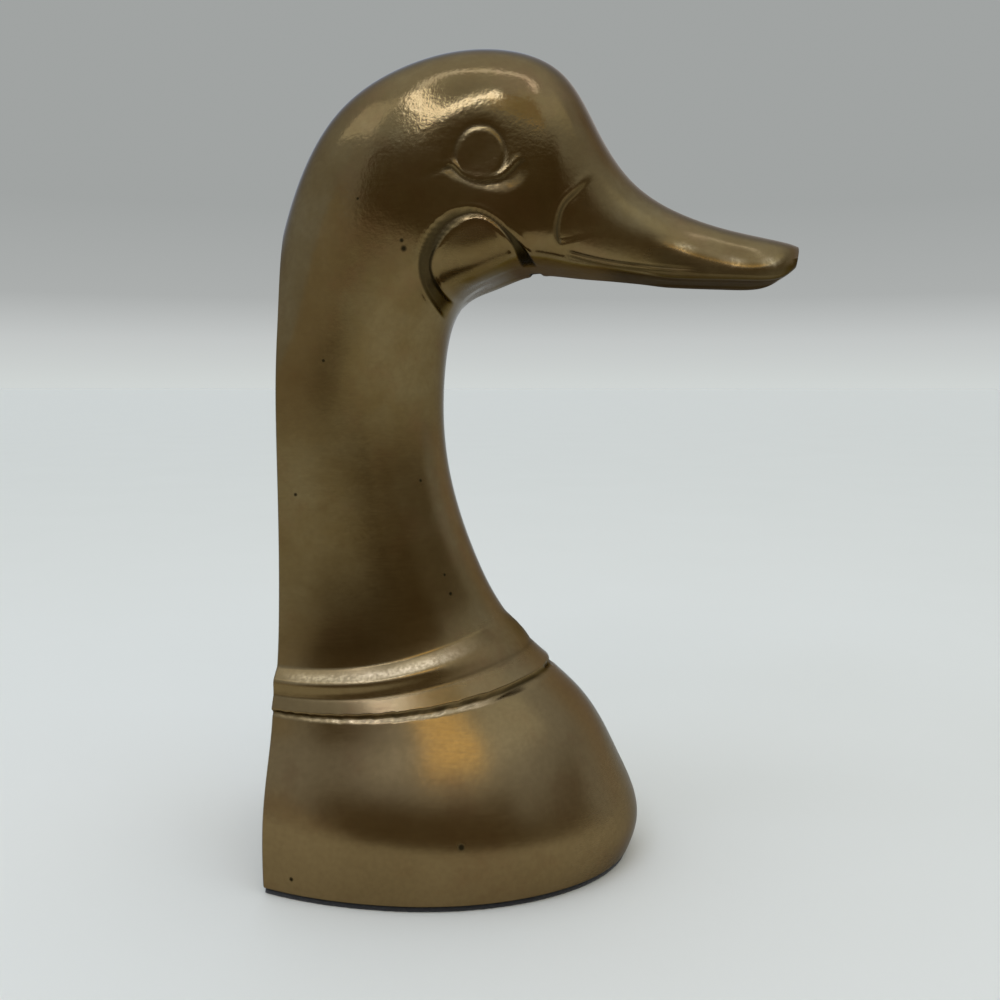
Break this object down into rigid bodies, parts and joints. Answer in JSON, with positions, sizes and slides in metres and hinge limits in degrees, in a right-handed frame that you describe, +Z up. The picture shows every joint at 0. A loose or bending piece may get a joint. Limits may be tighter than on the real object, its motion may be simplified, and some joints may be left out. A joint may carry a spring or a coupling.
{
  "type": "duck head bookend",
  "caption": "Hollow cast brass bookend in the form of a duck's head and neck on a bell-shaped breast, ground flat behind, with a felt-covered foot.",
  "frame": {"origin": "centre of the foot, on the surface that the felt rests on", "axes": "+Z up, +X the way the bill points and square to the flat back, +Y to the duck's left"},
  "size_m": [0.1102, 0.0762, 0.1757],
  "materials": {
    "brass": "aged, hand polished to a satin gloss",
    "board": "plain pressed fibreboard",
    "felt": "matte black wool felt"
  },
  "bodies": {
    "root": {"right_half_casting": "brass", "left_half_casting": "brass", "base_board": "board", "felt_pad": "felt"}
  },
  "joints": []
}
